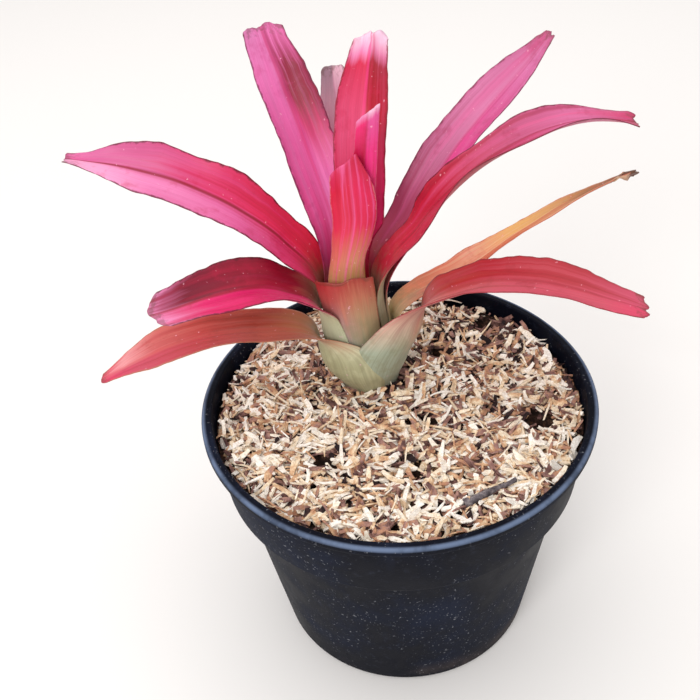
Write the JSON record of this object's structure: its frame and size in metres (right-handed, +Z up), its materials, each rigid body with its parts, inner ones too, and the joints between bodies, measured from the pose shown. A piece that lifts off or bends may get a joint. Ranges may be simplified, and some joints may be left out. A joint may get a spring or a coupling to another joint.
{
  "type": "potted bromeliad",
  "caption": "Small bromeliad with red and pink strap leaves in a rosette, planted in chopped husk in a round black nursery pot with a stepped rim band.",
  "frame": {"origin": "centre of the pot's flat underside", "axes": "+Z up along the pot's axis; +Y towards the side of the pot that the plant stands nearer to; +X to the right as seen from the front"},
  "size_m": [0.2126, 0.1612, 0.2326],
  "materials": {
    "pot_plastic": "satin, dusty",
    "potting_husk": "rough, dry",
    "stem_tissue": "matt",
    "leaf_tissue": "satin, waxy",
    "leaf_withered": "matt, dry"
  },
  "bodies": {
    "root": {"pot": "pot_plastic", "potting_mix": "potting_husk", "stem": "stem_tissue", "leaf_left_low": "leaf_tissue", "leaf_right_low": "leaf_tissue", "leaf_right_dry": "leaf_withered", "leaf_left_middle": "leaf_tissue", "leaf_front_short": "leaf_tissue", "leaf_left_upper": "leaf_tissue", "leaf_right_upper": "leaf_tissue", "leaf_back": "leaf_tissue", "leaf_back_left": "leaf_tissue", "leaf_right_middle": "leaf_tissue", "leaf_centre_tall": "leaf_tissue", "leaf_centre_short": "leaf_tissue", "leaf_centre_young": "leaf_tissue"}
  },
  "joints": []
}
